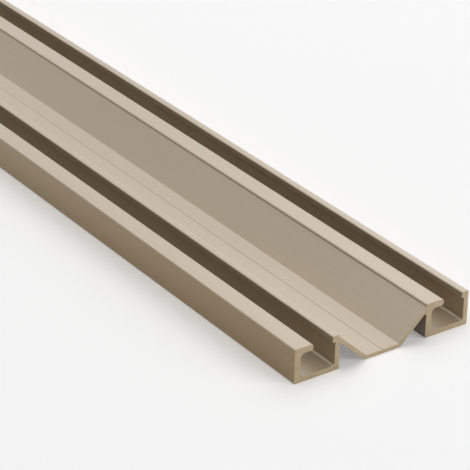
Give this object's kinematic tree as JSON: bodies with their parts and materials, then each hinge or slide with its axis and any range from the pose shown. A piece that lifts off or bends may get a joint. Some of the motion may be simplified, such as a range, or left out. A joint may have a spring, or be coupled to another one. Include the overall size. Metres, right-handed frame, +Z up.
{
  "type": "aluminium extrusion profile",
  "caption": "Flat extruded aluminium track bar with a lipped channel along each side and a shallow sloped trough with a scribed centre line between them.",
  "frame": {"origin": "middle of the underside, halfway along the bar", "axes": "+Y along the bar, away from the end that the picture shows; +Z up, away from the flat underside, towards the open sides of the channels; +X across the bar"},
  "size_m": [0.056, 1, 0.01],
  "materials": {
    "anodised": "satin champagne anodised"
  },
  "bodies": {
    "root": {"profile": "anodised"}
  },
  "joints": []
}
